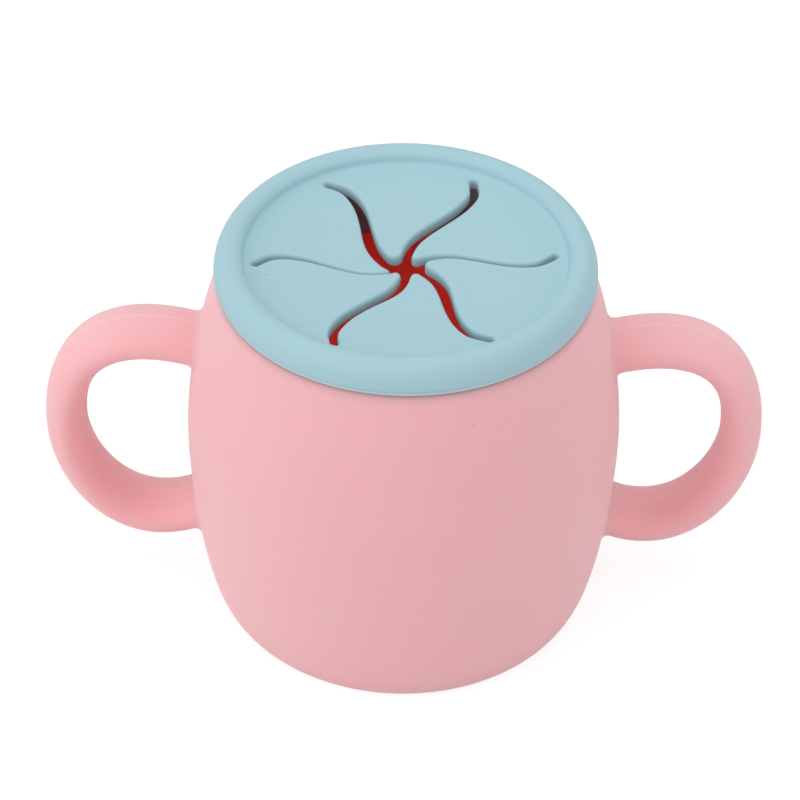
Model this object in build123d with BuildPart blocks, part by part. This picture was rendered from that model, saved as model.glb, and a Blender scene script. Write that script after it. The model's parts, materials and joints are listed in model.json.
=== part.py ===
from build123d import *
from math import atan2, cos, degrees, radians, sin
import os

os.makedirs("parts", exist_ok=True)

# A toddler's silicone cup: a bellied cup with two handles, and a soft lid whose middle is six flaps.
# It stands on Z = 0 with its axis on Z. The handles lie in the XZ plane, one on each side.

# Cup, outside
cup_base_radius = 35.0
cup_corner_reach = 3.5
cup_belly_radius = 41.0
cup_belly_height = 36.2
cup_belly_reach_down = 11.0
cup_belly_reach_up = 15.2
cup_shoulder_radius = 34.4
cup_shoulder_height = 73.2
cup_shoulder_flare = 2.6
cup_shoulder_reach = 6.4

# Cup, inside and lip
cup_wall = 3.4
cup_floor_thickness = 4.0
cup_floor_corner_reach = 4.0
shoulder_width = 1.5
lip_thickness = 1.8
lip_height = 2.8
lip_rounding = 0.4
bore_depth = 5.0
bore_blend_reach = 5.0

# Handles: an ellipse carried out from the cup's wall, round the outer turn and back
handle_thickness = 7.7
handle_width = 13.5
handle_root_depth = 5.0
handle_tail_length = 12.0
handle_standoff = 23.2
handle_turn_height = 37.8
handle_turn_reach_up = 15.7
handle_turn_reach_down = 14.1
handle_top_drop = 17.1
handle_top_run = 19.7
handle_top_rise = 7.5
handle_foot_height = 19.0
handle_foot_run = 16.3
handle_foot_drop = 11.7
handle_root_fillet = 3.0
handle_seat_gap = 0.05

# Lid's rolled rim, from its edge on the cup's shoulder over the crest to the slope inside
lid_edge_overhang = 0.2
lid_bulge = 0.4
lid_widest_rise = 1.6
lid_crest_inset = 2.9
lid_height = 6.1
lid_slope_top_inset = 3.6
lid_slope_run = 3.5
lid_crest_rounding = 1.6
lid_slope_rounding = 1.6

# Lid's membrane, and the skirt that plugs the cup
membrane_rise = 3.0
membrane_thickness = 1.75
seat_clearance = 0.15
skirt_thickness = 1.95
skirt_length = 10.8
skirt_rounding = 0.5

# Curved slits part the membrane into flaps, which meet round a small hub opening
flap_count = 6
slit_width = 1.6
slit_end_margin = 0.8
slit_turn = 2.2
hub_radius = 1.4
flap_tip_rounding = 1.1
flap_gap = 0.2

# One slit from the hub out: shares of its run, each with the sideways sway there in millimetres
slit_shape = [
    (-0.02, 0.4),
    (0.10, 1.5),
    (0.22, 2.1),
    (0.37, 1.65),
    (0.55, 0.0),
    (0.70, -1.4),
    (0.82, -1.8),
    (0.91, -1.3),
    (1.00, 0.45),
]

# Radii and heights that follow from the sizes above
lip_radius = cup_shoulder_radius - shoulder_width
bore_radius = lip_radius - lip_thickness
bore_foot = cup_shoulder_height - bore_depth
lip_top = cup_shoulder_height + lip_height
cup_inner_belly_radius = cup_belly_radius - cup_wall
cup_inner_base_radius = cup_base_radius - cup_wall

handle_start = cup_belly_radius - handle_root_depth
handle_reach = cup_belly_radius + handle_standoff
handle_top_height = cup_shoulder_height - handle_top_drop

lid_edge_radius = cup_shoulder_radius + lid_edge_overhang
lid_radius = lid_edge_radius + lid_bulge
lid_widest_height = cup_shoulder_height + lid_widest_rise
lid_crest_radius = lid_radius - lid_crest_inset
lid_crest_height = cup_shoulder_height + lid_height
lid_slope_top_radius = lid_radius - lid_slope_top_inset
lid_slope_foot_radius = lid_slope_top_radius - lid_slope_run

groove_radius = lip_radius + seat_clearance
groove_top = lip_top + seat_clearance
skirt_radius = bore_radius - seat_clearance
skirt_bore_radius = skirt_radius - skirt_thickness
skirt_foot = cup_shoulder_height - skirt_length

membrane_top = cup_shoulder_height + membrane_rise
membrane_bottom = membrane_top - membrane_thickness

# Each flap hinges on the line between the ends of the two slits beside it, on a rounded nose
slit_end_run = lid_slope_foot_radius - slit_end_margin
slit_points = [(slit_end_run * share, sway) for share, sway in slit_shape]
slit_end = Vector(*slit_points[-1])
slit_end_angle = slit_turn + degrees(atan2(slit_end.Y, slit_end.X))
flap_pitch = 360 / flap_count
nose_radius = membrane_thickness / 2
hinge_distance = slit_end.length * cos(radians(flap_pitch / 2))
hinge_height = membrane_top - nose_radius


def outside_upper(grown=0.0):
    """Points of the cup's outline from the shoulder down to the belly, moved outward by grown."""
    return [
        (cup_shoulder_radius + grown, cup_shoulder_height),
        (cup_shoulder_radius + cup_shoulder_flare + grown, cup_shoulder_height - cup_shoulder_reach),
        (cup_belly_radius + grown, cup_belly_height + cup_belly_reach_up),
        (cup_belly_radius + grown, cup_belly_height),
    ]


def outside_lower(grown=0.0):
    """Points of the cup's outline from the belly down to the base, moved outward by grown."""
    return [
        (cup_belly_radius + grown, cup_belly_height),
        (cup_belly_radius + grown, cup_belly_height - cup_belly_reach_down),
        (cup_base_radius + cup_corner_reach + grown, 0),
        (cup_base_radius + grown, 0),
    ]


def solid_cup(grown=0.0):
    """Solid of the cup's outside, moved outward by grown. Its seam line stands at the back, clear of the handles."""
    with BuildPart() as block:
        with BuildSketch(Plane.YZ):
            with BuildLine():
                upper = Bezier(*outside_upper(grown))
                lower = Bezier(*outside_lower(grown))
                Polyline(lower @ 1, (0, 0), (0, cup_shoulder_height), upper @ 0)
            make_face()
        revolve(axis=Axis.Z)
    return block.part


# Cup: hollow, with a thin lip that stands inside its shoulder
with BuildPart() as cup_body:
    with BuildSketch(Plane.XZ):
        with BuildLine():
            Bezier(*outside_upper())
            Bezier(*outside_lower())
            Polyline(
                (cup_base_radius, 0),
                (0, 0),
                (0, cup_floor_thickness),
                (cup_inner_base_radius, cup_floor_thickness),
            )
            Bezier(
                (cup_inner_base_radius, cup_floor_thickness),
                (cup_inner_base_radius + cup_floor_corner_reach, cup_floor_thickness),
                (cup_inner_belly_radius, cup_belly_height - cup_belly_reach_down),
                (cup_inner_belly_radius, cup_belly_height),
            )
            Bezier(
                (cup_inner_belly_radius, cup_belly_height),
                (cup_inner_belly_radius, cup_belly_height + cup_belly_reach_up),
                (bore_radius, bore_foot - bore_blend_reach),
                (bore_radius, bore_foot),
            )
            Polyline(
                (bore_radius, bore_foot),
                (bore_radius, lip_top),
                (lip_radius, lip_top),
                (lip_radius, cup_shoulder_height),
                (cup_shoulder_radius, cup_shoulder_height),
            )
        make_face()
    revolve(axis=Axis.Z)
    fillet(cup_body.edges().filter_by(GeomType.CIRCLE).group_by(Axis.Z)[-1], radius=lip_rounding)

# Handle: swept with a straight tail at each foot through the cup's wall, blended into it, and cut back to the
# wall's outside
with BuildPart() as right_handle:
    add(solid_cup())
    with BuildLine(Plane.XZ) as handle_route:
        upper_arm = Bezier(
            (handle_start, handle_top_height),
            (handle_start + handle_top_run, handle_top_height + handle_top_rise),
            (handle_reach, handle_turn_height + handle_turn_reach_up),
            (handle_reach, handle_turn_height),
        )
        lower_arm = Bezier(
            (handle_reach, handle_turn_height),
            (handle_reach, handle_turn_height - handle_turn_reach_down),
            (handle_start + handle_foot_run, handle_foot_height - handle_foot_drop),
            (handle_start, handle_foot_height),
        )
        Line(upper_arm @ 0 - upper_arm % 0 * handle_tail_length, upper_arm @ 0)
        Line(lower_arm @ 1, lower_arm @ 1 + lower_arm % 1 * handle_tail_length)
    route = handle_route.wire()
    with BuildSketch(Plane(origin=route @ 0, x_dir=(0, 1, 0), z_dir=route % 0)):
        Ellipse(handle_width / 2, handle_thickness / 2)
    sweep(path=route)
    fillet(right_handle.edges(Select.NEW), radius=handle_root_fillet)
    add(solid_cup(handle_seat_gap), mode=Mode.SUBTRACT)

with BuildPart() as left_handle:
    mirror(right_handle.part, about=Plane.YZ)

# Lid ring: rolled rim, groove for the cup's lip, plug skirt, and the membrane round the flaps
with BuildPart() as lid_ring:
    with BuildSketch(Plane.XZ) as lid_section:
        with BuildLine():
            EllipticalCenterArc(
                (lid_crest_radius, lid_widest_height),
                lid_crest_inset,
                lid_height - lid_widest_rise,
                start_angle=0,
                arc_size=90,
            )
            Polyline(
                (lid_crest_radius, lid_crest_height),
                (lid_slope_top_radius, lid_crest_height),
                (lid_slope_foot_radius, membrane_top),
                (hinge_distance - nose_radius, membrane_top),
                (hinge_distance - nose_radius, membrane_bottom),
                (skirt_bore_radius, membrane_bottom),
                (skirt_bore_radius, skirt_foot),
                (skirt_radius, skirt_foot),
                (skirt_radius, groove_top),
                (groove_radius, groove_top),
                (groove_radius, cup_shoulder_height),
                (lid_edge_radius, cup_shoulder_height),
            )
            TangentArc((lid_radius, lid_widest_height), (lid_edge_radius, cup_shoulder_height), tangent=(0, -1))
        make_face()
        corners = lid_section.vertices()
        fillet(corners.sort_by_distance((lid_slope_top_radius, lid_crest_height))[0], radius=lid_crest_rounding)
        fillet(corners.sort_by_distance((lid_slope_foot_radius, membrane_top))[0], radius=lid_slope_rounding)
        fillet(lid_section.vertices().group_by(Axis.Y)[0], radius=skirt_rounding)
    revolve(axis=Axis.Z)
    with BuildSketch(Plane.XY.offset(membrane_bottom)) as flap_window:
        RegularPolygon(
            radius=hinge_distance + nose_radius + flap_gap,
            side_count=flap_count,
            major_radius=False,
            rotation=slit_end_angle,
        )
        fillet(flap_window.vertices(), radius=slit_width / 2)
    extrude(amount=lid_height, mode=Mode.SUBTRACT)

# Plan of one slit along +X: its curve, its round end, and a cut on outward that parts two noses
with BuildSketch() as slit_plan:
    with BuildLine():
        Spline(*slit_points)
        Line(slit_end, slit_end + slit_end.normalized() * (membrane_thickness + slit_width))
    trace(line_width=slit_width)
    with Locations(slit_end):
        Circle(slit_width / 2)

# Plan of all the flaps, with their roots on the hinge lines and their tips round the hub
with BuildSketch(Plane.XY.offset(membrane_bottom)) as flap_plan:
    RegularPolygon(
        radius=hinge_distance + nose_radius,
        side_count=flap_count,
        major_radius=False,
        rotation=slit_end_angle,
    )
    with PolarLocations(0, flap_count, start_angle=slit_turn):
        add(slit_plan.sketch, mode=Mode.SUBTRACT)
    Circle(hub_radius, mode=Mode.SUBTRACT)
    fillet(flap_plan.vertices().sort_by_distance((0, 0, 0))[:flap_count], radius=flap_tip_rounding)

for piece, label in (
    (cup_body, "cup_body"),
    (left_handle, "left_handle"),
    (right_handle, "right_handle"),
    (lid_ring, "lid_ring"),
):
    piece.part.label = label
    export_step(piece.part, f"parts/{label}.step")

# Flaps: the plan raised to the membrane's thickness, with a round nose along each hinge line
for number in range(flap_count):
    across = slit_end_angle + flap_pitch * (number + 0.5)
    outward = Vector(cos(radians(across)), sin(radians(across)), 0)
    root = outward * hinge_distance
    plan_face = flap_plan.sketch.faces().sort_by_distance((root.X, root.Y, membrane_bottom))[0]
    with BuildPart() as flap:
        extrude(plan_face, amount=membrane_thickness, dir=(0, 0, 1))
        with BuildSketch(Plane(origin=(0, 0, hinge_height), x_dir=outward, z_dir=outward.cross(Vector(0, 0, 1)))):
            with Locations((hinge_distance / 2, 0)):
                Rectangle(hinge_distance, membrane_thickness)
            with Locations((hinge_distance, 0)):
                Circle(nose_radius)
        extrude(amount=slit_end.length, both=True, mode=Mode.INTERSECT)
    flap.part.label = f"flap_{number + 1}"
    export_step(flap.part, f"parts/flap_{number + 1}.step")
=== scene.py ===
# %% [markdown]
# # A toddler's silicone cup with a snack lid
# The cup is a bellied pink cup with two loop handles, moulded in one piece. The lid is a blue
# rolled rim with a thin membrane, which six curved slits part into six bending flaps. The CAD frame
# gives the sizes and the joints. Here the same forms are modelled as soft rubber skins: one skin
# for the cup and its handles, one for the lid's rim, and one for each flap.

# %% Load the frame
import json
from math import atan2, cos, degrees, pi, radians, sin

import bmesh
import bpy
import numpy as np
from mathutils import Matrix, Vector
from mathutils.geometry import delaunay_2d_cdt


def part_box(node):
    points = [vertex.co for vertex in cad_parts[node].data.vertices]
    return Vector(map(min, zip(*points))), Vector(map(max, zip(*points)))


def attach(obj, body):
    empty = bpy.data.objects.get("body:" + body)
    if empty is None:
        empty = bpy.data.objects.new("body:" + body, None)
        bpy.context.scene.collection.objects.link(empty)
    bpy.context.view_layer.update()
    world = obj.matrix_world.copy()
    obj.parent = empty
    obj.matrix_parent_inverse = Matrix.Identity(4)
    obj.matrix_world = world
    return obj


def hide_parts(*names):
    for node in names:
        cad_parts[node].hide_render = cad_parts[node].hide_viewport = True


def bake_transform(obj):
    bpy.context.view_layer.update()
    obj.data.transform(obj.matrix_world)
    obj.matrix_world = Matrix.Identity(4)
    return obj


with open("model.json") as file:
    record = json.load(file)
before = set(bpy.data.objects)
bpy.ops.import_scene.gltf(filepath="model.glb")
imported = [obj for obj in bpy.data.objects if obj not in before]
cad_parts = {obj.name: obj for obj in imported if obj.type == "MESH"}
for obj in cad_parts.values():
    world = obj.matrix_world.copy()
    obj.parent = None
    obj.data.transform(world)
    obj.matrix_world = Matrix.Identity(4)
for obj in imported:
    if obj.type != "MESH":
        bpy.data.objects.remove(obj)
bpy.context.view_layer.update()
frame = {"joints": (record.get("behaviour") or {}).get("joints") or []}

mm = 0.001

# %% [markdown]
# ## Sizes
# What the CAD nodes can say is read from their boxes: the belly, the lip, the rim and the skirt.
# The few curves that a box can't give are written as the CAD writes them, as control points of
# cubic curves.

# %% Sizes read from the frame
cup_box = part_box("cup_body")
ring_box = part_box("lid_ring")
handle_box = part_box("right_handle")
belly_radius = cup_box[1].x
lip_top = cup_box[1].z
rim_radius = ring_box[1].x
rim_top = ring_box[1].z
skirt_foot = ring_box[0].z
rim_height = 6.1 * mm
half_thickness = 3.85 * mm
shoulder_height = rim_top - rim_height
handle_reach = handle_box[1].x - half_thickness
print("belly", belly_radius, "rim", rim_radius, "shoulder", shoulder_height, "handle reach", handle_reach)

# %% Curves of the cup's wall
shoulder_radius = 34.4 * mm
base_radius = 35.0 * mm
belly_height = 36.2 * mm
wall = 3.4 * mm
floor_thickness = 4.0 * mm
shoulder_curve = [
    (shoulder_radius, shoulder_height),
    (shoulder_radius + 2.6 * mm, shoulder_height - 6.4 * mm),
    (belly_radius, belly_height + 15.2 * mm),
    (belly_radius, belly_height),
]
base_curve = [
    (belly_radius, belly_height),
    (belly_radius, belly_height - 11.0 * mm),
    (base_radius + 3.5 * mm, 0),
    (base_radius, 0),
]


def bezier(points, shares):
    """Points of the cubic curve with these four control points, at shares of its run from 0 to 1."""
    a, b, c, d = (np.array(point, float) for point in points)
    t = np.asarray(shares, float).reshape(-1, 1)
    return a * (1 - t) ** 3 + 3 * b * t * (1 - t) ** 2 + 3 * c * t * t * (1 - t) + d * t**3


def arc(centre, radius, start, end, steps):
    """Points on an arc of a circle, both ends included, with its angles in degrees."""
    angles = np.radians(np.linspace(start, end, steps + 1))
    return [(centre[0] + radius * cos(a), centre[1] + radius * sin(a)) for a in angles]


# %% [markdown]
# ## Turning a section
# A turned form starts as its half section in the XZ plane: one vertex is extruded from point to
# point, and the chain is spun round the Z axis. The last step meets the first, and points on the
# axis fall together, so merging doubles closes the seam and the poles. Recalculating the normals
# makes every face point outwards.

# %% Helpers to start a piece and to turn a section
def start_piece(name):
    """Names the active object and its mesh, and gives it back."""
    piece = bpy.context.active_object
    piece.name = name
    piece.data.name = name
    return piece


def turned(name, section, steps):
    """A turned piece from (radius, height) points."""
    bpy.ops.object.select_all(action="DESELECT")
    bpy.ops.mesh.primitive_plane_add(size=mm, location=(0, 0, 0))
    piece = start_piece(name)
    bpy.ops.object.mode_set(mode="EDIT")
    bpy.ops.mesh.select_all(action="SELECT")
    bpy.ops.mesh.merge(type="CENTER")
    bpy.ops.transform.translate(value=(section[0][0], 0, section[0][1]))
    for (r0, z0), (r1, z1) in zip(section, section[1:]):
        bpy.ops.mesh.extrude_region_move(TRANSFORM_OT_translate={"value": (r1 - r0, 0, z1 - z0)})
    bpy.ops.mesh.select_all(action="SELECT")
    bpy.ops.mesh.spin(steps=steps, angle=2 * pi, center=(0, 0, 0), axis=(0, 0, 1))
    bpy.ops.mesh.select_all(action="SELECT")
    bpy.ops.mesh.remove_doubles(threshold=0.004 * mm)
    bpy.ops.mesh.normals_make_consistent(inside=False)
    bpy.ops.object.mode_set(mode="OBJECT")
    print(name, "turned:", len(piece.data.polygons), "faces")
    return piece


def only(piece):
    """Makes this piece the active one and the only one selected."""
    bpy.ops.object.select_all(action="DESELECT")
    piece.select_set(True)
    bpy.context.view_layer.objects.active = piece


def face_outwards():
    """Turns the active piece's normals outwards."""
    bpy.ops.object.mode_set(mode="EDIT")
    bpy.ops.mesh.select_all(action="SELECT")
    bpy.ops.mesh.normals_make_consistent(inside=False)
    bpy.ops.object.mode_set(mode="OBJECT")


def coordinates(piece):
    """The piece's vertices as rows of x, y, z."""
    flat = np.empty(len(piece.data.vertices) * 3)
    piece.data.vertices.foreach_get("co", flat)
    return flat.reshape(-1, 3)


def place(piece, rows):
    """Moves the piece's vertices to these rows of x, y, z."""
    piece.data.vertices.foreach_set("co", np.asarray(rows, float).ravel())
    piece.data.update()


# %% [markdown]
# ## The cup's shell
# The section runs from the middle of the floor, up the inside to the lip that plugs into the lid's
# groove, over the shoulder that the lid's rim rests on, down the belly and under the base. The
# edges that a mould leaves are never sharp in silicone, so the lip, the shoulder and the inner
# corner are arcs.

# %% Turn the cup's shell
lip_radius = shoulder_radius - 1.5 * mm
bore_radius = lip_radius - 1.8 * mm
bore_foot = shoulder_height - 5.0 * mm
inner_belly = belly_radius - wall
inner_base = base_radius - wall
floor_curve = [
    (inner_base, floor_thickness),
    (inner_base + 4.0 * mm, floor_thickness),
    (inner_belly, belly_height - 11.0 * mm),
    (inner_belly, belly_height),
]
bore_curve = [
    (inner_belly, belly_height),
    (inner_belly, belly_height + 15.2 * mm),
    (bore_radius, bore_foot - 5.0 * mm),
    (bore_radius, bore_foot),
]
lip_round = 0.4 * mm
shoulder_round = 0.5 * mm
wall_rings = 30
around_cup = 192
shoulder_run = bezier(shoulder_curve, np.linspace(0.006, 1, wall_rings + 1))
cup_section = (
    [(r * inner_base, floor_thickness) for r in (0, 0.15, 0.4, 0.7, 0.9)]
    + [tuple(p) for p in bezier(floor_curve, np.linspace(0, 1, wall_rings))]
    + [tuple(p) for p in bezier(bore_curve, np.linspace(0, 1, wall_rings))[1:]]
    + arc((bore_radius + lip_round, lip_top - lip_round), lip_round, 180, 90, 5)
    + arc((lip_radius - lip_round, lip_top - lip_round), lip_round, 90, 0, 5)
    + [(lip_radius, shoulder_height)]
    + arc((shoulder_radius - shoulder_round, shoulder_height - shoulder_round), shoulder_round, 90, 20, 5)
    + [tuple(p) for p in shoulder_run[1:]]
    + [tuple(p) for p in bezier(base_curve, np.linspace(0, 1, wall_rings + 1))[1:]]
    + [(r * base_radius, 0) for r in (0.9, 0.7, 0.4, 0.15, 0)]
)
cup = turned("cup_skin", cup_section, around_cup)

# %% [markdown]
# ## Handles that grow out of the wall
# Each handle is an oval carried along a curve in the XZ plane. On the real cup it is one moulding
# with the wall, so its roots swell into the belly. The wall and the handle are both written as
# distances, where 0 is the surface, and a smooth minimum of the two gives the joined surface with
# its fillet. The mesh only has to be near: windows are cut in the wall, a tube is bridged to them,
# and the vertices are then moved onto the joined surface.

# %% Route of a handle and the joined surface
handle_start = belly_radius - 5.0 * mm
handle_top = shoulder_height - 17.1 * mm
turn_height = 37.8 * mm
foot_height = 19.0 * mm
handle_curves = [
    [
        (handle_start, handle_top),
        (handle_start + 19.7 * mm, handle_top + 7.5 * mm),
        (handle_reach, turn_height + 15.7 * mm),
        (handle_reach, turn_height),
    ],
    [
        (handle_reach, turn_height),
        (handle_reach, turn_height - 14.1 * mm),
        (handle_start + 16.3 * mm, foot_height - 11.7 * mm),
        (handle_start, foot_height),
    ],
]
half_width = 6.75 * mm
fillet_reach = 1.5 * mm
upper_route, lower_route = (bezier(curve, np.linspace(0, 1, 401)) for curve in handle_curves)
route = np.vstack([upper_route, lower_route[1:]])
route_step = np.linalg.norm(np.diff(route, axis=0), axis=1)
route_run = np.concatenate([[0], np.cumsum(route_step)])
route_way = np.gradient(route, axis=0)
route_way /= np.linalg.norm(route_way, axis=1, keepdims=True)
wall_shares = np.linspace(0, 1, 600)
wall_line = np.vstack([bezier(shoulder_curve, wall_shares), bezier(base_curve, wall_shares)[1:]])
print("handle's line is", round(route_run[-1] / mm, 1), "mm long")


def wall_distance(points):
    """Signed distance to the cup's outside, where outside the wall is positive."""
    heights = wall_line[::-1, 1]
    radii = wall_line[::-1, 0]
    lean = np.gradient(radii, heights + np.arange(len(heights)) * 1e-12)
    radius = np.interp(points[:, 2], heights, radii)
    slope = np.interp(points[:, 2], heights, np.clip(lean, -3, 3))
    return (np.hypot(points[:, 0], points[:, 1]) - radius) / np.sqrt(1 + slope**2)


def handle_distance(points):
    """Signed distance to the nearer handle's oval, close to true near its surface."""
    flat = np.column_stack([np.abs(points[:, 0]), points[:, 2]])
    gaps = np.full(len(flat), np.inf)
    nearest = np.zeros(len(flat), int)
    for index in range(0, len(route), 4):
        gap = np.hypot(*(flat - route[index]).T)
        closer = gap < gaps
        gaps[closer] = gap[closer]
        nearest[closer] = index
    for shift in (-3, -2, -1, 1, 2, 3):
        index = np.clip(nearest + shift, 0, len(route) - 1)
        gap = np.hypot(*(flat - route[index]).T)
        closer = gap < gaps
        gaps[closer] = gap[closer]
        nearest = np.where(closer, index, nearest)
    way = route_way[nearest]
    offset = flat - route[nearest]
    across = (offset[:, 0] * -way[:, 1] + offset[:, 1] * way[:, 0]) / half_thickness
    side = points[:, 1] / half_width
    oval = np.hypot(across, side) + 1e-9
    steepness = np.hypot(across / half_thickness, side / half_width) / oval + 1e-9
    return (oval - 1) / steepness


def joined_distance(points):
    """Signed distance to the wall and handles together, with the fillet between them."""
    a = wall_distance(points)
    b = handle_distance(points)
    near = np.maximum(fillet_reach - np.abs(a - b), 0) / fillet_reach
    return np.minimum(a, b) - near**2 * fillet_reach / 4


def onto_joined_surface(points, rounds=8):
    """Moves points along the joined distance's slope until they lie on its surface."""
    step = 0.02 * mm
    for _ in range(rounds):
        value = joined_distance(points)
        slope = np.column_stack([
            (joined_distance(points + step * axis) - joined_distance(points - step * axis)) / (2 * step)
            for axis in np.eye(3)
        ])
        points = points - value[:, None] * slope / (slope**2).sum(1, keepdims=True)
    return points


# %% Cut windows in the wall where the handles' roots are
window_columns = 14
window_rows = 10
column_angle = 2 * pi / around_cup


def root_height(curve_index):
    """Height where a handle's line passes through the wall, at its top or its foot."""
    half = route[: len(route) // 2] if curve_index == 0 else route[len(route) // 2:]
    gap = wall_distance(np.column_stack([half[:, 0], np.zeros(len(half)), half[:, 1]]))
    return half[np.abs(gap).argmin()][1]


outside_rings = sorted({
    round(z, 7) for r, z in cup_section
    if r > shoulder_radius + 0.3 * mm and z > 0.2 * mm
    and abs(wall_distance(np.array([[r, 0, z]]))[0]) < 0.05 * mm
})
roots = [root_height(0), root_height(1)]
spans = []
for height in roots:
    first = int(np.argmin([abs(z - height) for z in outside_rings])) - window_rows // 2
    spans.append((outside_rings[first], outside_rings[first + window_rows]))
print("roots at", roots, "windows", spans)

only(cup)
bpy.ops.object.mode_set(mode="EDIT")
bpy.ops.mesh.select_all(action="DESELECT")
mesh = bmesh.from_edit_mesh(cup.data)
for face in mesh.faces:
    middle = face.calc_center_median()
    outside = wall_distance(np.array([middle]))[0] > -wall / 2
    beside = abs(atan2(middle.y, abs(middle.x))) < window_columns / 2 * column_angle
    face.select = outside and beside and any(low < middle.z < high for low, high in spans)
bmesh.update_edit_mesh(cup.data)
print("window faces", sum(face.select for face in mesh.faces), "of", 4 * window_columns * window_rows)
bpy.ops.mesh.delete(type="FACE")
bpy.ops.object.mode_set(mode="OBJECT")

# %% Tubes of the two handles, bridged to the windows
around_handle = 2 * (window_columns + window_rows)
root_clearance = [5.0 * mm, 5.5 * mm]
ring_spacing = 0.9 * mm


def run_at_wall(half):
    """Run along the handle's line where it passes through the wall."""
    gap = np.abs(wall_distance(np.column_stack([route[:, 0], np.zeros(len(route)), route[:, 1]])))
    middle = len(route) // 2
    index = gap[:middle].argmin() if half == 0 else middle + gap[middle:].argmin()
    return route_run[index]


tube_runs = np.linspace(
    run_at_wall(0) + root_clearance[0], run_at_wall(1) - root_clearance[1],
    int((run_at_wall(1) - run_at_wall(0) - sum(root_clearance)) / ring_spacing),
)


def tube_ring(run, side):
    """One oval ring of a handle at this run along its line, on the side of +X or -X."""
    x, z = (np.interp(run, route_run, route[:, n]) for n in (0, 1))
    way_x, way_z = (np.interp(run, route_run, route_way[:, n]) for n in (0, 1))
    turns = np.linspace(0, 2 * pi, around_handle, endpoint=False)
    lift = half_thickness * np.cos(turns)
    return np.column_stack([side * (x - way_z * lift), half_width * np.sin(turns), z + way_x * lift])


def handle_tube(name, side):
    """An open tube: a circle extruded ring by ring, each ring then set on the handle's oval."""
    bpy.ops.object.select_all(action="DESELECT")
    bpy.ops.mesh.primitive_circle_add(vertices=around_handle, radius=half_thickness, location=(0, 0, 0))
    tube = start_piece(name)
    bpy.ops.object.mode_set(mode="EDIT")
    for _ in tube_runs[1:]:
        bpy.ops.mesh.extrude_region_move(TRANSFORM_OT_translate={"value": (0, 0, mm)})
    bpy.ops.object.mode_set(mode="OBJECT")
    rows = coordinates(tube)
    turns = np.round(np.arctan2(rows[:, 1], rows[:, 0]) % (2 * pi - 1e-6), 5)
    order = np.lexsort((turns, np.round(rows[:, 2] / mm)))
    placed = np.empty_like(rows)
    placed[order] = np.vstack([tube_ring(run, side) for run in tube_runs])
    place(tube, placed)
    return tube


tubes = [handle_tube("right_tube", 1), handle_tube("left_tube", -1)]
bpy.ops.object.select_all(action="DESELECT")
for part in (*tubes, cup):
    part.select_set(True)
bpy.context.view_layer.objects.active = cup
bpy.ops.object.join()
bridge_cuts = 16
for side in (1, -1):
    for low, high in spans:
        bpy.ops.object.mode_set(mode="EDIT")
        bpy.ops.mesh.select_all(action="DESELECT")
        mesh = bmesh.from_edit_mesh(cup.data)
        middle_height = (low + high) / 2
        for edge in mesh.edges:
            if edge.is_boundary:
                middle = (edge.verts[0].co + edge.verts[1].co) / 2
                near_root = (middle.z > turn_height) == (middle_height > turn_height)
                edge.select = near_root and middle.x * side > 0
        mesh.select_flush_mode()
        bmesh.update_edit_mesh(cup.data)
        bpy.ops.mesh.bridge_edge_loops(number_cuts=bridge_cuts, interpolation="LINEAR")
        bpy.ops.object.mode_set(mode="OBJECT")
print("cup with handles:", len(cup.data.polygons), "faces")

# %% Relax the bridges and lay them on the joined surface
relax_rounds = 6
root_zone = 8.5 * mm
root_span = 14 * mm


def near_roots(rows):
    """Which vertices are on the outer skin close to a handle's root."""
    outer = joined_distance(rows) > -wall / 2
    blended = np.abs(wall_distance(rows) - handle_distance(rows)) < root_zone
    level = np.minimum(np.abs(rows[:, 2] - roots[0]), np.abs(rows[:, 2] - roots[1])) < root_span
    return outer & blended & level & (np.abs(rows[:, 0]) > belly_radius / 2)


for _ in range(relax_rounds):
    rows = coordinates(cup)
    skin = near_roots(rows)
    rows[skin] = onto_joined_surface(rows[skin], rounds=3)
    place(cup, rows)
    bpy.ops.object.mode_set(mode="EDIT")
    bpy.ops.mesh.select_all(action="DESELECT")
    mesh = bmesh.from_edit_mesh(cup.data)
    mesh.verts.ensure_lookup_table()
    for index in np.flatnonzero(near_roots(rows)):
        mesh.verts[index].select = True
    mesh.select_flush_mode()
    bmesh.update_edit_mesh(cup.data)
    bpy.ops.mesh.vertices_smooth(factor=0.5, repeat=3)
    bpy.ops.object.mode_set(mode="OBJECT")
rows = coordinates(cup)
skin = near_roots(rows)
rows[skin] = onto_joined_surface(rows[skin])
place(cup, rows)
face_outwards()
open_edges = bmesh.new()
open_edges.from_mesh(cup.data)
print("open edges left on the cup:", sum(edge.is_boundary for edge in open_edges.edges))
open_edges.free()

# %% [markdown]
# ## The lid's rim
# The rim is a rolled bead. Outside it falls to a thin edge on the cup's shoulder, inside it drops
# steeply to the membrane, and under it a groove takes the cup's lip and a skirt plugs the bore. It
# is one turned section, which stops on the inner slope. The flaps' membrane takes over there, where
# the surface is a plain cone for a short run, so that no seam shows.

# %% Section of the lid's top, and the rim
membrane_top = shoulder_height + 3.3 * mm
membrane_thickness = 2.2 * mm
membrane_bottom = membrane_top - membrane_thickness
crest_radius = rim_radius - 2.9 * mm
widest_height = shoulder_height + 1.6 * mm
seam_radius = 29.65 * mm
seam_height = membrane_top + 1.1 * mm
slope_foot = 26.4 * mm
steep = radians(76)
plain_run = 0.25 * mm
rim_edge = rim_radius - 0.4 * mm
edge_round = 0.22 * mm
groove_radius = lip_radius + 0.15 * mm
groove_top = lip_top + 0.15 * mm
skirt_radius = bore_radius - 0.15 * mm
skirt_bore = skirt_radius - 1.95 * mm
skirt_end = skirt_foot - 1.4 * mm
skirt_round = 0.5 * mm
around_rim = 240


def beside_seam(run):
    """The point this far up the steep part of the slope from the seam."""
    return seam_radius + run * cos(steep), seam_height + run * sin(steep)


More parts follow.
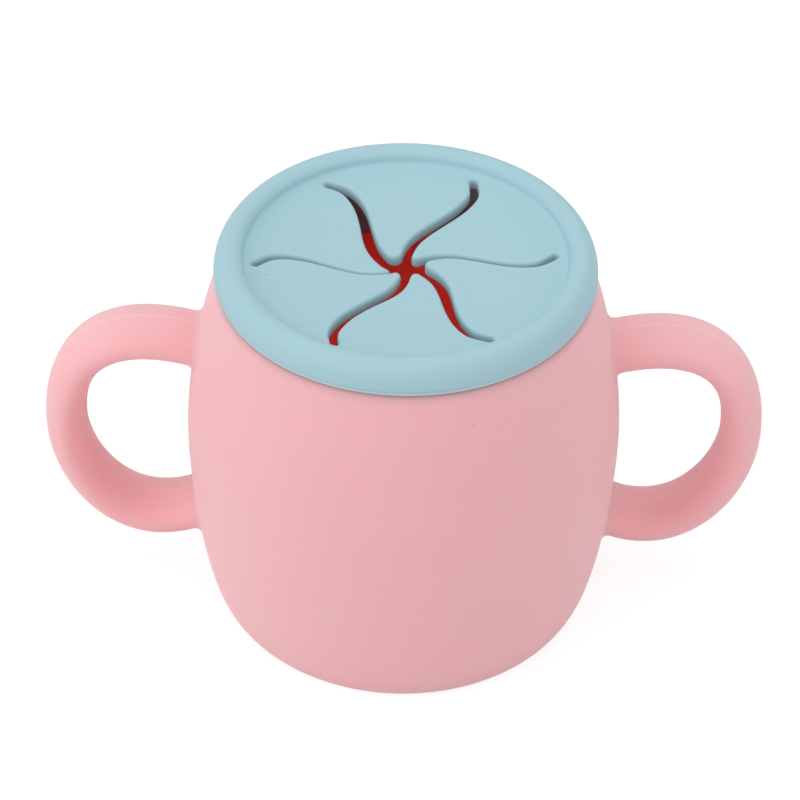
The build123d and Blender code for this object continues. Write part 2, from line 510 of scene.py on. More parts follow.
crest_curve = [
    (crest_radius, rim_top),
    (crest_radius - 1.1 * mm, rim_top),
    beside_seam(1.2 * mm),
    beside_seam(plain_run),
]
foot_curve = [
    beside_seam(-plain_run),
    beside_seam(-0.85 * mm),
    (slope_foot + 1.9 * mm, membrane_top),
    (slope_foot, membrane_top),
]
crest_line = [tuple(p) for p in bezier(crest_curve, np.linspace(0, 1, 17))]
foot_line = [tuple(p) for p in bezier(foot_curve, np.linspace(0, 1, 25))]
top_line = np.array([(0, membrane_top)] + foot_line[::-1] + crest_line[::-1])


def lid_height_at(radius):
    """Height of the lid's top between its axis and its crest."""
    return np.interp(radius, top_line[:, 0], top_line[:, 1])


bead = [
    (crest_radius + (rim_radius - crest_radius) * cos(a), widest_height + (rim_top - widest_height) * sin(a))
    for a in np.radians(np.linspace(90, 0, 25))
]
under_bead = bezier(
    [
        (rim_radius, widest_height),
        (rim_radius, widest_height - 0.8 * mm),
        (rim_edge, shoulder_height + 1.0 * mm),
        (rim_edge, shoulder_height + edge_round),
    ],
    np.linspace(0, 1, 10),
)
rim_section = (
    [(seam_radius, seam_height)]
    + crest_line[::-1]
    + bead[1:]
    + [tuple(p) for p in under_bead[1:]]
    + arc((rim_edge - edge_round, shoulder_height + edge_round), edge_round, 0, -90, 6)[1:]
    + [(groove_radius, shoulder_height), (groove_radius, groove_top), (skirt_radius, groove_top)]
    + arc((skirt_radius - skirt_round, skirt_end + skirt_round), skirt_round, 0, -90, 6)
    + arc((skirt_bore + skirt_round, skirt_end + skirt_round), skirt_round, -90, -180, 6)
    + [(skirt_bore, membrane_bottom), (seam_radius, seam_height)]
)
rim = turned("lid_rim_skin", rim_section, around_rim)

# %% [markdown]
# ## The flaps
# The membrane is cut by six S-shaped slits. Each flap is drawn in plan: out along one slit's edge,
# round half of the slit's end, along the seam with the rim, and back along the next slit to a
# rounded tip near the hub. Insetting such a face folds over at the slits' ends, so rows of points
# are laid beside the edge and on the slope instead, and the outline is triangulated through them.
# Then the sheet is extruded to its thickness and given its height: the rim's slope outside, a
# slight sag towards the hub, and a soft edge that falls off more than it reaches in. Each point
# keeps how deep it lies in the slit, for the painted glow on the slit's walls.

# %% Plan of a slit
slit_turn = radians(2.2)
slit_run = 27.1 * mm
slit_shape = [
    (-0.02, 0.4), (0.10, 1.5), (0.22, 2.1), (0.37, 1.65), (0.55, 0.0),
    (0.70, -1.4), (0.82, -1.8), (0.91, -1.3), (1.00, 0.45),
]


def smooth_curve(knots, values, at):
    """A natural cubic curve through these values at these knots."""
    x, y = np.array(knots, float), np.array(values, float)
    gap = np.diff(x)
    system = np.eye(len(x))
    right = np.zeros(len(x))
    for n in range(1, len(x) - 1):
        system[n, n - 1: n + 2] = gap[n - 1], 2 * (gap[n - 1] + gap[n]), gap[n]
        right[n] = 6 * ((y[n + 1] - y[n]) / gap[n] - (y[n] - y[n - 1]) / gap[n - 1])
    bend = np.linalg.solve(system, right)
    n = np.clip(np.searchsorted(x, at) - 1, 0, len(x) - 2)
    before, after = at - x[n], x[n + 1] - at
    return (
        (bend[n] * after**3 + bend[n + 1] * before**3) / (6 * gap[n])
        + (y[n] / gap[n] - bend[n] * gap[n] / 6) * after
        + (y[n + 1] / gap[n] - bend[n + 1] * gap[n] / 6) * before
    )


slit_shares = np.linspace(0.03, 1, 120)
slit_line = np.column_stack([
    slit_run * slit_shares,
    mm * smooth_curve([s for s, _ in slit_shape], [sway for _, sway in slit_shape], slit_shares),
])
slit_way = np.gradient(slit_line, axis=0)
slit_way /= np.linalg.norm(slit_way, axis=1, keepdims=True)
slit_side = np.column_stack([-slit_way[:, 1], slit_way[:, 0]])
end_direction = degrees(atan2(slit_way[-1, 1], slit_way[-1, 0]))
print("slit ends at", slit_line[-1] / mm, "heading", round(end_direction, 1))


def turned_plan(points, angle):
    """Plan points turned about the axis."""
    points = np.asarray(points, float)
    return np.column_stack([
        points[:, 0] * cos(angle) - points[:, 1] * sin(angle),
        points[:, 0] * sin(angle) + points[:, 1] * cos(angle),
    ])


# %% Edges of the six slits
# In the photograph the soft flaps don't lie evenly: two slits are almost shut and two stand wide.
# So each slit has its own left and right edge, in millimetres from its line, at these shares of its
# run.
pitch = pi / 3
edge_shares = (0.1, 0.3, 0.5, 0.8, 1.0)
slit_edges = [
    {"left": (0.70, 0.83, 0.71, 0.92, 0.85), "right": (-0.45, 0.05, 0.05, 0.06, -0.38)},
    {"left": (0.78, 0.87, 0.88, 1.20, 0.62), "right": (-1.05, -1.09, -0.98, -0.58, -0.92)},
    {"left": (2.40, 1.50, 0.88, 0.99, 0.70), "right": (-0.55, -1.00, -1.18, -0.87, -0.80)},
    {"left": (0.52, 0.54, 0.42, 0.66, 0.76), "right": (0.26, 0.22, -0.01, -0.29, -0.50)},
    {"left": (0.75, 0.75, 0.38, 1.00, 0.78), "right": (-0.95, -1.27, -1.43, -0.77, -0.62)},
    {"left": (1.65, 1.57, 1.08, 1.42, 1.20), "right": (-0.78, -0.84, -0.93, -0.39, -0.30)},
]
end_runs = [0.4 * mm, 0.1 * mm, 0.1 * mm, 0.45 * mm, 0.05 * mm, 0.1 * mm]


def slit_edge(number, side):
    """One edge of a slit in plan, from the hub outwards, with a short straight run to its end."""
    shares = np.maximum(slit_shares, edge_shares[0])
    offset = mm * smooth_curve(edge_shares, slit_edges[number % 6][side], shares)
    line = slit_line + slit_side * offset[:, None]
    line = np.vstack([line, line[-1] + slit_way[-1] * end_runs[number % 6]])
    return turned_plan(line, slit_turn + pitch * number)


def slit_end(number):
    """Middle and half width of a slit's end, and the direction it heads in."""
    left, right = slit_edge(number, "left")[-1], slit_edge(number, "right")[-1]
    heading = radians(end_direction) + slit_turn + pitch * number
    return (left + right) / 2, np.linalg.norm(left - right) / 2, heading


end_widths = [round(2 * slit_end(number)[1] / mm, 2) for number in range(6)]
print("widths of the slits' ends in mm:", end_widths)

# %% Outline of a flap
tip_rounds = [1.0 * mm, 1.4 * mm, 0.35 * mm, 0.9 * mm, 1.0 * mm, 1.25 * mm]
edge_rows = [row * mm for row in (0.04, 0.09, 0.16, 0.25, 0.38, 0.55, 0.80, 1.15)]


def shifted(line, distance):
    """A plan line moved to its left by this distance."""
    way = np.gradient(line, axis=0)
    way /= np.linalg.norm(way, axis=1, keepdims=True) + 1e-12
    return line + np.column_stack([-way[:, 1], way[:, 0]]) * distance


def half_cap(number, side):
    """Half of a slit's round end, from its edge to its outermost point, and that point's angle."""
    middle, half, heading = slit_end(number)
    outermost = atan2(middle[1], middle[0])
    turn = pi / 2 if side == "left" else -pi / 2
    sweep = (heading + turn - outermost + pi) % (2 * pi) - pi
    return arc(middle, half, degrees(outermost + sweep), degrees(outermost), 14), outermost


def flap_lines(number):
    """The free edge of a flap from one slit's end round its tip to the next one's, and its whole outline."""
    near = slit_edge(number, "left")
    far = slit_edge(number + 1, "right")
    tip_round = tip_rounds[number]
    near_inset, far_inset = shifted(near, tip_round), shifted(far, -tip_round)
    gaps = np.linalg.norm(near_inset[:, None] - far_inset[None, :], axis=2)
    near_tip, far_tip = np.unravel_index(gaps.argmin(), gaps.shape)
    tip_centre = (near_inset[near_tip] + far_inset[far_tip]) / 2
    tip_start = degrees(atan2(*(far[far_tip] - tip_centre)[::-1]))
    tip_end = degrees(atan2(*(near[near_tip] - tip_centre)[::-1]))
    tip_end += 360 * (tip_end < tip_start)
    tip = arc(tip_centre, tip_round, tip_start, tip_end, 14)
    near_cap, near_angle = half_cap(number, "left")
    far_cap, far_angle = half_cap(number + 1, "right")
    far_angle += 2 * pi * (far_angle < near_angle)
    free = np.vstack([far_cap[::-1], far[far_tip:-1][::-1], tip[1:-1], near[near_tip:-1], near_cap])
    near_reach, far_reach = np.hypot(*near_cap[-1]), np.hypot(*far_cap[-1])
    seam = np.linspace(near_angle, far_angle, around_rim // 6 + 1)
    outline = np.vstack([
        free,
        [((near_reach + row) * cos(near_angle), (near_reach + row) * sin(near_angle)) for row in edge_rows],
        [(seam_radius * cos(a), seam_radius * sin(a)) for a in seam],
        [((far_reach + row) * cos(far_angle), (far_reach + row) * sin(far_angle)) for row in edge_rows[::-1]],
    ])
    return free, outline, seam


print("first flap's outline has", len(flap_lines(0)[1]), "points")

# %% Height of the membrane
sag_depth = 1.35 * mm
sag_radius = 27.0 * mm
sag_power = 1.35
sag_run_out = 0.12
edge_soft = 0.5 * mm
edge_fall = 0.9 * mm


def sag(radius):
    """How far the membrane has sunk at this radius."""
    share = np.clip(radius / sag_radius, 0, 1)
    return sag_depth * (1 - share**sag_power) * np.clip((1 - share) / sag_run_out, 0, 1) ** 0.5


def gap_to(plan, line):
    """Distance from each plan point to a line of straight stretches."""
    start, stretch = line[:-1], np.diff(line, axis=0)
    length = (stretch**2).sum(1) + 1e-18
    nearest = np.full(len(plan), np.inf)
    for begin in range(0, len(plan), 2000):
        part = plan[begin: begin + 2000]
        offset = part[:, None] - start[None]
        share = np.clip((offset * stretch).sum(2) / length, 0, 1)
        nearest[begin: begin + 2000] = np.linalg.norm(offset - share[..., None] * stretch, axis=2).min(1)
    return nearest


def edge_drop(plan, free, softness, fall):
    """How far a rounded edge has fallen beside the flap's free edge."""
    outward = 1 - np.clip(gap_to(plan, free) / softness, 0, 1)
    return fall * (1 - np.sqrt(1 - outward**2))


print("sag at the hub", sag_depth / mm, "mm, flap's soft edge", edge_soft / mm, "mm wide")

# %% Points inside a flap's outline, and its flat sheet
square = 1.2 * mm
slope_rows = [row * mm for row in (
    26.4, 26.8, 27.2, 27.6, 27.95, 28.25, 28.5, 28.75, 28.95, 29.12, 29.27, 29.4, 29.5, 29.57,
)]
least_gap = 0.03 * mm
under_soft = 0.2 * mm


def inside(plan, outline):
    """Which plan points are inside a closed outline."""
    x, y = plan[:, 0:1], plan[:, 1:2]
    ax, ay = outline[:, 0], outline[:, 1]
    bx, by = np.roll(ax, -1), np.roll(ay, -1)
    with np.errstate(divide="ignore", invalid="ignore"):
        crossing = ((ay > y) != (by > y)) & (x < (bx - ax) * (y - ay) / (by - ay) + ax)
    return crossing.sum(1) % 2 == 1


def inner_points(free, outline, seam):
    """Points inside the outline: rows beside its free edge, rows on the slope and a square grid."""
    rows = [shifted(free, row) for row in edge_rows]
    found = np.vstack([line[gap_to(line, free) > row - least_gap / 2] for line, row in zip(rows, edge_rows)])
    slope = np.vstack([[(r * cos(a), r * sin(a)) for a in seam[1:-1]] for r in slope_rows])
    low, high = outline.min(0), outline.max(0)
    xs, ys = (np.arange(low[n] + square / 2, high[n], square) for n in range(2))
    grid = np.array([(x, y) for x in xs for y in ys])
    field = np.vstack([slope, grid[np.hypot(*grid.T) < slope_rows[0] - square / 2]])
    field = field[gap_to(field, free) > edge_rows[-1] + square / 4]
    points = np.vstack([found, field])
    closed = np.vstack([outline, outline[:1]])
    points = points[inside(points, outline) & (gap_to(points, closed) > least_gap)]
    kept = np.empty_like(points)
    count = 0
    for point in points:
        if count == 0 or np.abs(kept[:count] - point).max(1).min() > least_gap:
            kept[count] = point
            count += 1
    return kept[:count]


def flat_sheet(name, outline, points):
    """A flat sheet of triangles with this outline, through these points."""
    corners = [Vector(point) for point in np.vstack([outline, points])]
    rows, _, faces, *_ = delaunay_2d_cdt(corners, [], [list(range(len(outline)))], 1, 1e-7)
    mesh = bpy.data.meshes.new(name)
    mesh.from_pydata([(x, y, 0) for x, y in rows], [], faces)
    sheet = bpy.data.objects.new(name, mesh)
    bpy.context.collection.objects.link(sheet)
    only(sheet)
    return sheet


# %% Model the six flaps
flaps = []
soft_faces = []
for number in range(6):
    free, outline, seam = flap_lines(number)
    flap = flat_sheet(f"flap_{number + 1}_skin", outline, inner_points(free, outline, seam))
    bpy.ops.object.mode_set(mode="EDIT")
    bpy.ops.mesh.select_all(action="SELECT")
    bpy.ops.mesh.extrude_region_move(TRANSFORM_OT_translate={"value": (0, 0, -membrane_thickness)})
    bpy.ops.object.mode_set(mode="OBJECT")
    rows = coordinates(flap)
    radius = np.hypot(rows[:, 0], rows[:, 1])
    is_top = rows[:, 2] > -membrane_thickness / 2
    top_height = lid_height_at(radius) - sag(radius) - edge_drop(rows[:, :2], free, edge_soft, edge_fall)
    under_height = membrane_bottom - sag(radius) + edge_drop(rows[:, :2], free, under_soft, under_soft)
    rows[:, 2] = np.where(is_top, top_height, under_height)
    # How deep each point lies in the slit; it scales the painted glow on the slit's walls.
    depth = (lid_height_at(radius) - sag(radius) - rows[:, 2]) / membrane_thickness
    flap.data.attributes.new("edge_depth", "FLOAT", "POINT").data.foreach_set("value", np.clip(depth, 0, 1))
    under_seam = ~is_top & (radius > skirt_bore)
    rows[under_seam, :2] *= (skirt_bore / radius[under_seam])[:, None]
    place(flap, rows)
    face_outwards()
    middles = np.array([polygon.center[:2] for polygon in flap.data.polygons])
    soft_faces.append(gap_to(middles, free) < edge_soft)
    flaps.append(flap)
    print(flap.name, len(flap.data.polygons), "faces, tip at", round(np.hypot(*free.T).min() / mm, 2), "mm")

# %% Shade every piece smoothly, with its true corners kept
corner_angle = radians(52)
for piece in (cup, rim, *flaps):
    only(piece)
    bpy.ops.object.shade_smooth_by_angle(angle=corner_angle)
for piece in (rim, *flaps):
    rows = coordinates(piece)
    at_seam_radius = np.abs(np.hypot(rows[:, 0], rows[:, 1]) - seam_radius) < 0.02 * mm
    on_seam = at_seam_radius & (rows[:, 2] > seam_height - 0.1 * mm)
    for edge in piece.data.edges:
        if on_seam[edge.vertices[0]] and on_seam[edge.vertices[1]]:
            edge.use_edge_sharp = True
    print(piece.name, "has", int(on_seam.sum()), "vertices on the seam")

# %% [markdown]
# ## Silicone
# Matte silicone is soft to light: it takes some in, scatters it and lets a little through, which is
# why the closed cup glows deep red inside. The pink skin scatters light, and further on the inside.
# The blue lid is made of closed meshes that touch, where scattering draws dark seams. So its slits'
# walls get a faint painted glow that grows with their depth instead, and the inside of its skirt a
# faint painted red glow, for the light that the pink cup throws back. The finish is a shader group
# of faint clouding, dust specks and a fine skin bump.

# %% Helpers for shader nodes
def feed(tree, socket, value):
    """Links a socket to another one, or sets it to a number or a colour."""
    if isinstance(value, bpy.types.NodeSocket):
        tree.links.new(value, socket)
    else:
        socket.default_value = value


def new_group(name, inputs, outputs):
    """A shader node group with these named float or colour sockets."""
    group = bpy.data.node_groups.new(name, "ShaderNodeTree")
    for label, kind, value in inputs:
        socket = group.interface.new_socket(name=label, in_out="INPUT", socket_type=kind)
        socket.default_value = value
    for label, kind in outputs:
        group.interface.new_socket(name=label, in_out="OUTPUT", socket_type=kind)
    return group, group.nodes.new("NodeGroupInput"), group.nodes.new("NodeGroupOutput")


def math_of(tree, operation, *values):
    """A math node on these sockets and numbers."""
    node = tree.nodes.new("ShaderNodeMath")
    node.operation = operation
    for socket, value in zip(node.inputs, values):
        feed(tree, socket, value)
    return node.outputs[0]


def ramp(tree, source, start, end, low, high, shape="SMOOTHSTEP"):
    """A ramp from low at start to high at end."""
    node = tree.nodes.new("ShaderNodeMapRange")
    node.interpolation_type = shape
    for label, value in (("From Min", start), ("From Max", end), ("To Min", low), ("To Max", high)):
        node.inputs[label].default_value = value
    tree.links.new(source, node.inputs["Value"])
    return node.outputs["Result"]


def mixed(tree, share, first, second, blend_type="MIX"):
    """A mix of two colours, each a socket or a value, by a share."""
    node = tree.nodes.new("ShaderNodeMix")
    node.data_type = "RGBA"
    node.blend_type = blend_type
    for label, value in (("Factor", share), ("A", first), ("B", second)):
        feed(tree, node.inputs[label], value)
    return node.outputs["Result"]


def texture(tree, kind, spot, **settings):
    """A texture node at these coordinates."""
    node = tree.nodes.new(kind)
    for label, value in settings.items():
        node.inputs[label].default_value = value
    tree.links.new(spot, node.inputs["Vector"])
    return node


# %% Shader group for the moulded skin
skin_group, skin_in, skin_out = new_group(
    "moulded_skin",
    [
        ("Colour", "NodeSocketColor", (0.8, 0.8, 0.8, 1)),
        ("Clouding", "NodeSocketFloat", 0.04),
        ("Roughness", "NodeSocketFloat", 0.6),
        ("Dust", "NodeSocketFloat", 0.3),
    ],
    [("Colour", "NodeSocketColor"), ("Roughness", "NodeSocketFloat"), ("Height", "NodeSocketFloat")],
)
spot = skin_group.nodes.new("ShaderNodeTexCoord").outputs["Object"]
cloud = texture(skin_group, "ShaderNodeTexNoise", spot, Scale=60, Detail=3)
cloud_offset = math_of(skin_group, "SUBTRACT", cloud.outputs["Fac"], 0.5)
cloud_amount = math_of(skin_group, "MULTIPLY_ADD", cloud_offset, skin_in.outputs["Clouding"], 1.0)
clouded = mixed(skin_group, 1.0, skin_in.outputs["Colour"], cloud_amount, blend_type="MULTIPLY")
dust = texture(skin_group, "ShaderNodeTexVoronoi", spot, Scale=160)
dust_near, dust_far = 0.02, 0.06
dust_size = ramp(skin_group, dust.outputs["Distance"], dust_near, dust_far, 1.0, 0.0, shape="LINEAR")
dust_parts = skin_group.nodes.new("ShaderNodeSeparateColor")
skin_group.links.new(dust.outputs["Color"], dust_parts.inputs["Color"])
dust_rarity = 0.86
dust_rare = math_of(skin_group, "GREATER_THAN", dust_parts.outputs["Red"], dust_rarity)
dust_mask = math_of(skin_group, "MULTIPLY", dust_size, dust_rare)
dust_share = math_of(skin_group, "MULTIPLY", dust_mask, skin_in.outputs["Dust"])
dust_colour = (0.16, 0.13, 0.13, 1)
skin_group.links.new(mixed(skin_group, dust_share, clouded, dust_colour), skin_out.inputs["Colour"])
grain = texture(skin_group, "ShaderNodeTexNoise", spot, Scale=2600, Detail=4)
skin_group.links.new(grain.outputs["Fac"], skin_out.inputs["Height"])
rough_change = math_of(skin_group, "MULTIPLY_ADD", cloud_offset, 0.12, skin_in.outputs["Roughness"])
skin_group.links.new(rough_change, skin_out.inputs["Roughness"])
print("group", skin_group.name, "with", len(skin_group.nodes), "nodes")

# %% [markdown]
# ## The mould's line, and painted shade and light at the seat
# The mould parts in the XZ plane and leaves a fine ridge round each handle, drawn as a pale line of
# painted highlight. Where the rim sits on the cup the light hardly gets in, so the seat gets painted
# shade as a darker line, and the rim's thin foot, which light shines through, gets a pale line of
# painted light. Each is a mask of the place in the piece's own coordinates, so that it moves with the piece.

# %% Shader group for the mould's line, and for painted shade and light where the rim sits
marks_and_light_group, marks_and_light_in, marks_and_light_out = new_group(
    "mould_line_and_painted_light",
    [
        ("Colour", "NodeSocketColor", (0.8, 0.8, 0.8, 1)),
        ("Parting Line Highlight", "NodeSocketFloat", 0.0),
        ("Seat Shade", "NodeSocketFloat", 0.0),
        ("Painted Foot Light", "NodeSocketFloat", 0.0),
    ],
    [("Colour", "NodeSocketColor")],
)
axes = marks_and_light_group.nodes.new("ShaderNodeSeparateXYZ")
marks_and_light_group.links.new(marks_and_light_group.nodes.new("ShaderNodeTexCoord").outputs["Object"], axes.inputs["Vector"])
beside = math_of(marks_and_light_group, "ABSOLUTE", axes.outputs["Y"])
outward = math_of(marks_and_light_group, "ABSOLUTE", axes.outputs["X"])
height = axes.outputs["Z"]
# The mould's parting line is real, but its pale colour is a painted highlight that stands in for the light on
# its ridge.
parting_highlight_mask = math_of(
    marks_and_light_group, "MULTIPLY",
    ramp(marks_and_light_group, beside, 0.05 * mm, 0.18 * mm, 1.0, 0.0),
    ramp(marks_and_light_group, outward, belly_radius - 2.8 * mm, belly_radius - 2.2 * mm, 0.0, 1.0),
)
# Painted shade: the pink is darkened in a band just under the shoulder, where the rim sits and keeps the
# light out.
painted_seat_shade_mask = math_of(
    marks_and_light_group, "MULTIPLY",
    ramp(marks_and_light_group, height, shoulder_height - 2.2 * mm, shoulder_height, 0.0, 1.0),
    ramp(marks_and_light_group, height, shoulder_height - 0.9 * mm, shoulder_height, 0.35, 1.0),
)
painted_seat_shade_mask = math_of(
    marks_and_light_group, "MULTIPLY", painted_seat_shade_mask,
    ramp(marks_and_light_group, height, shoulder_height + 0.2 * mm, shoulder_height + 0.8 * mm, 1.0, 0.0),
)
# Painted light: the rim's thin foot is made paler, for the light that shines through it.
foot_light_mask = ramp(marks_and_light_group, height, shoulder_height + 0.25 * mm, shoulder_height + 0.55 * mm, 1.0, 0.0)
colour_so_far = marks_and_light_in.outputs["Colour"]
for label, mask, target in (
    ("Parting Line Highlight", parting_highlight_mask, (1.0, 0.86, 0.84, 1)),
    ("Seat Shade", painted_seat_shade_mask, (0.30, 0.17, 0.17, 1)),
    ("Painted Foot Light", foot_light_mask, (0.86, 0.94, 0.96, 1)),
):
    share = math_of(marks_and_light_group, "MULTIPLY", mask, marks_and_light_in.outputs[label])
    colour_so_far = mixed(marks_and_light_group, share, colour_so_far, target)
marks_and_light_group.links.new(colour_so_far, marks_and_light_out.inputs["Colour"])
print("group", marks_and_light_group.name, "with", len(marks_and_light_group.nodes), "nodes")


# %% The two silicones
def silicone(name, colour, scatter, weight=1.0, dust_amount=0.0, glow=None, glow_by=None, marks_and_light=()):
    """A matte silicone. Scatter is how far red, green and blue light wander in it, in metres. Glow is painted
    light in its emission, scaled by the attribute named by glow_by when that is given.
    """
    material = bpy.data.materials.new(name)
    material.use_nodes = True
    tree = material.node_tree
    shader = tree.nodes["Principled BSDF"]
    skin = tree.nodes.new("ShaderNodeGroup")
    skin.node_tree = skin_group
    skin.inputs["Colour"].default_value = (*colour, 1)
    skin.inputs["Clouding"].default_value = 0.03
    skin.inputs["Roughness"].default_value = 0.6
    skin.inputs["Dust"].default_value = dust_amount
    bump = tree.nodes.new("ShaderNodeBump")
    bump.inputs["Strength"].default_value = 0.12
    bump.inputs["Distance"].default_value = 0.02 * mm
    # This node adds the mould's line and the painted shade and light at the seat.
    marks_and_light_node = tree.nodes.new("ShaderNodeGroup")
    marks_and_light_node.node_tree = marks_and_light_group
    for label, amount in marks_and_light:
        marks_and_light_node.inputs[label].default_value = amount
    tree.links.new(skin.outputs["Colour"], marks_and_light_node.inputs["Colour"])
    tree.links.new(marks_and_light_node.outputs["Colour"], shader.inputs["Base Color"])
    tree.links.new(skin.outputs["Roughness"], shader.inputs["Roughness"])
    tree.links.new(skin.outputs["Height"], bump.inputs["Height"])
    tree.links.new(bump.outputs["Normal"], shader.inputs["Normal"])
    shader.inputs["Subsurface Weight"].default_value = weight
    shader.inputs["Subsurface Radius"].default_value = scatter
    shader.inputs["Subsurface Scale"].default_value = 1.0
    shader.inputs["Specular IOR Level"].default_value = 0.35
    shader.inputs["IOR"].default_value = 1.41
    if glow:
        shader.inputs["Emission Color"].default_value = (*glow, 1)
        shader.inputs["Emission Strength"].default_value = 1.0
    if glow_by:
        share = tree.nodes.new("ShaderNodeAttribute")
        share.attribute_name = glow_by
        deepening = mixed(tree, share.outputs["Fac"], (0, 0, 0, 1), (*glow, 1))
        tree.links.new(deepening, shader.inputs["Emission Color"])
    return material


def thrown(*scatter):
    """Scatter in metres from millimetres."""
    return tuple(length * mm for length in scatter)


pink_colour = (0.868, 0.498, 0.522)
blue_colour = (0.37, 0.575, 0.637)
pink = silicone("pink_silicone", pink_colour, thrown(3.0, 1.2, 1.0), dust_amount=0.2, marks_and_light=(
    ("Parting Line Highlight", 0.28), ("Seat Shade", 0.6),
))
pink_inside = silicone("pink_silicone_inside", pink_colour, thrown(18.0, 5.0, 3.6))
blue = silicone("blue_silicone", blue_colour, thrown(1, 1, 1), weight=0.0, dust_amount=0.3, marks_and_light=(
    ("Painted Foot Light", 0.3),
))
# Painted light: the slits' walls glow faintly, more with depth, in place of the light that the silicone lets
# through.
blue_edge_glow = silicone(
    "blue_silicone_edge_glow", blue_colour, thrown(1, 1, 1), weight=0.0,
    glow=(0.05, 0.035, 0.03), glow_by="edge_depth",
)
# Painted light: the inside of the skirt glows a faint red, for the light that the pink cup throws back.
blue_inside_glow = silicone(
    "blue_silicone_inside_glow", blue_colour, thrown(1, 1, 1), weight=0.0, glow=(0.034, 0.004, 0.003),
)
cup.data.materials.append(pink)
cup.data.materials.append(pink_inside)
middles = np.array([polygon.center[:] for polygon in cup.data.polygons])
deep = (wall_distance(middles) < -wall / 2) & (middles[:, 2] > floor_thickness / 2)
cup.data.polygons.foreach_set("material_index", deep.astype(int))
rim.data.materials.append(blue)
rim.data.materials.append(blue_inside_glow)
middles = np.array([polygon.center[:] for polygon in rim.data.polygons])
under_lid = middles[:, 2] < membrane_bottom
within = (np.hypot(middles[:, 0], middles[:, 1]) < skirt_radius + 0.1 * mm) & under_lid
rim.data.polygons.foreach_set("material_index", within.astype(int))
for piece, soft in zip(flaps, soft_faces):
    piece.data.materials.append(blue)
    piece.data.materials.append(blue_edge_glow)
    piece.data.polygons.foreach_set("material_index", soft.astype(int))
print("faces inside the cup:", deep.sum())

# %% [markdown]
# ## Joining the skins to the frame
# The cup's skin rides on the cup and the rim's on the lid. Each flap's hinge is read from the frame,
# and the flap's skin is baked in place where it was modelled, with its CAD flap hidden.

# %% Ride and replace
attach(cup, "cup")
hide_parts("cup_body", "left_handle", "right_handle")
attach(rim, "lid")
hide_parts("lid_ring")
hinges = {joint["child"]: joint for joint in frame["joints"] if joint["type"] == "hinge"}
for number, piece in enumerate(flaps, 1):
    hinge = hinges[f"flap_{number}"]
    at = Vector(hinge["pos_m"])
    outward = Vector((at.x, at.y, 0)).normalized()
    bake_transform(piece)
    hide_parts(f"flap_{number}")

# %% [markdown]
# ## Floor, light and camera
# The studio is a white sweep with a large soft light on the left, one above, weaker ones on the
# right and behind, and pale light from all round. The camera stands where the photograph's did:
# above the cup, looking down 40 degrees with a long lens.

# %% Floor and backdrop
def to_viewer(tree):
    """1 for rays from the camera, from a gloss or through glass, and 0 for the rest."""
    path = tree.nodes.new("ShaderNodeLightPath")
    direct = math_of(tree, "MAXIMUM", path.outputs["Is Camera Ray"], path.outputs["Is Glossy Ray"])
    return math_of(tree, "MAXIMUM", direct, path.outputs["Is Transmission Ray"])


def backdrop_material():
    """A pale surface to the light that looks white to the camera, with a faint shadow left on it."""
    material = bpy.data.materials.new("studio_white")
    material.use_nodes = True
    tree = material.node_tree
    pale = tree.nodes["Principled BSDF"]
    pale.inputs["Base Color"].default_value = (0.86, 0.86, 0.86, 1)
    pale.inputs["Roughness"].default_value = 0.9
    pale.inputs["Specular IOR Level"].default_value = 0.1
    glow = tree.nodes.new("ShaderNodeEmission")
    glow.inputs["Strength"].default_value = 0.78
    shadow_catch = tree.nodes.new("ShaderNodeBsdfDiffuse")
    shadow_catch.inputs["Color"].default_value = (0.32, 0.32, 0.32, 1)
    seen = tree.nodes.new("ShaderNodeAddShader")
    tree.links.new(glow.outputs[0], seen.inputs[0])
    tree.links.new(shadow_catch.outputs[0], seen.inputs[1])
    choice = tree.nodes.new("ShaderNodeMixShader")
    tree.links.new(to_viewer(tree), choice.inputs[0])
    tree.links.new(pale.outputs[0], choice.inputs[1])
    tree.links.new(seen.outputs[0], choice.inputs[2])
    tree.links.new(choice.outputs[0], tree.nodes["Material Output"].inputs["Surface"])
    return material


bpy.ops.object.select_all(action="DESELECT")
bpy.ops.mesh.primitive_plane_add(size=8, location=(0, 0, 0))
floor = start_piece("studio_floor")
floor.data.materials.append(backdrop_material())

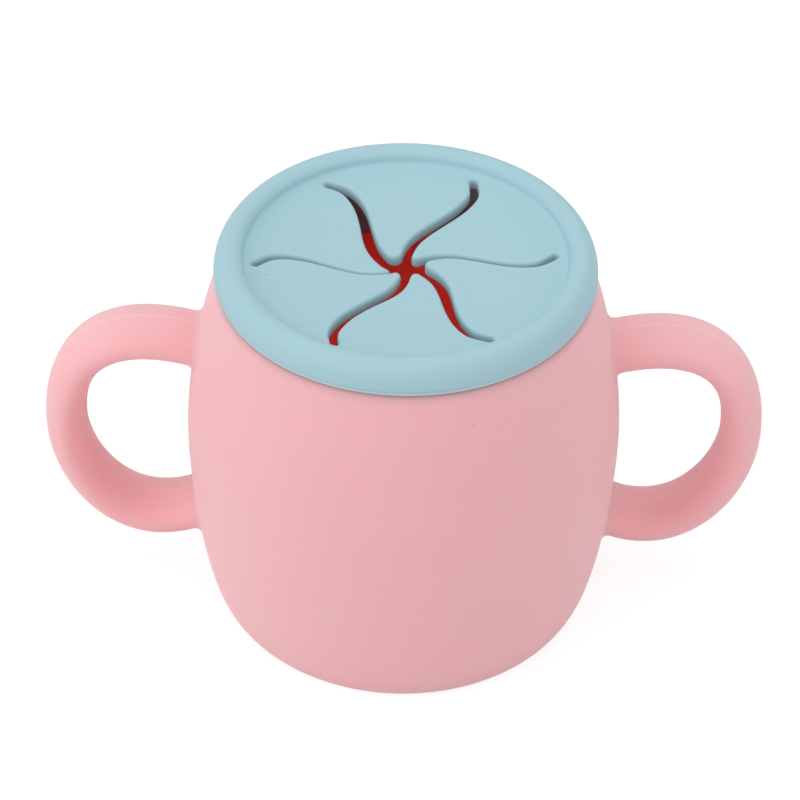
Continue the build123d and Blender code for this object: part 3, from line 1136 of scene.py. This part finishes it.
# %% World and lamps
world = bpy.data.worlds.new("studio")
bpy.context.scene.world = world
world.use_nodes = True
sky = world.node_tree
sky_light = sky.nodes["Background"]
sky_light.inputs["Color"].default_value = (1, 1, 1, 1)
sky_strength = 0.58
sky_choice = math_of(sky, "MULTIPLY_ADD", to_viewer(sky), 1 - sky_strength, sky_strength)
sky.links.new(sky_choice, sky_light.inputs["Strength"])
print("world strength", sky_strength, "to the object and 1 to the camera")


def soft_light(name, place_at, aim, size, power):
    """A square soft box aimed at a point."""
    lamp = bpy.data.lights.new(name, "AREA")
    lamp.size = size
    lamp.energy = power
    holder = bpy.data.objects.new(name, lamp)
    bpy.context.collection.objects.link(holder)
    holder.location = place_at
    holder.rotation_euler = (Vector(aim) - Vector(place_at)).to_track_quat("-Z", "Y").to_euler()
    return holder


middle_of_cup = (0, 0, 0.04)
for name, place_at, size, power in (
    ("key", (-0.9, -0.5, 0.6), 0.8, 4.3),
    ("top", (0.0, -0.1, 1.1), 1.0, 3.3),
    ("back_light", (0.0, 0.8, 0.9), 0.8, 0.8),
    ("fill", (0.9, -0.3, 0.5), 0.8, 1.5),
):
    lamp = soft_light(name, place_at, middle_of_cup, size, power)
    print("lamp", lamp.name, "of", power, "W")

# %% Camera
camera_turn = radians(0.39)
camera_rise = radians(40.3)
camera_roll = radians(0.78)
camera_distance = 0.525
aim = Vector((-0.000735, 0, 0.04303))
focal_pixels = 2771.3
frame_pixels = 800
back = Vector((sin(camera_turn) * cos(camera_rise), -cos(camera_turn) * cos(camera_rise), sin(camera_rise)))
right = (-back).cross(Vector((0, 0, 1))).normalized()
up = right.cross(-back)
right, up = right * cos(camera_roll) + up * sin(camera_roll), up * cos(camera_roll) - right * sin(camera_roll)
lens = bpy.data.cameras.new("photo_camera")
lens.sensor_width = 36
lens.lens = 36 * focal_pixels / frame_pixels
lens.clip_start = 0.01
camera = bpy.data.objects.new("photo_camera", lens)
bpy.context.collection.objects.link(camera)
facing = Matrix((right, up, back)).transposed()
camera.matrix_world = Matrix.Translation(aim + back * camera_distance) @ facing.to_4x4()
bpy.context.scene.camera = camera
bpy.context.scene.view_settings.view_transform = "Standard"
print("camera at", [round(value, 4) for value in camera.matrix_world.translation])
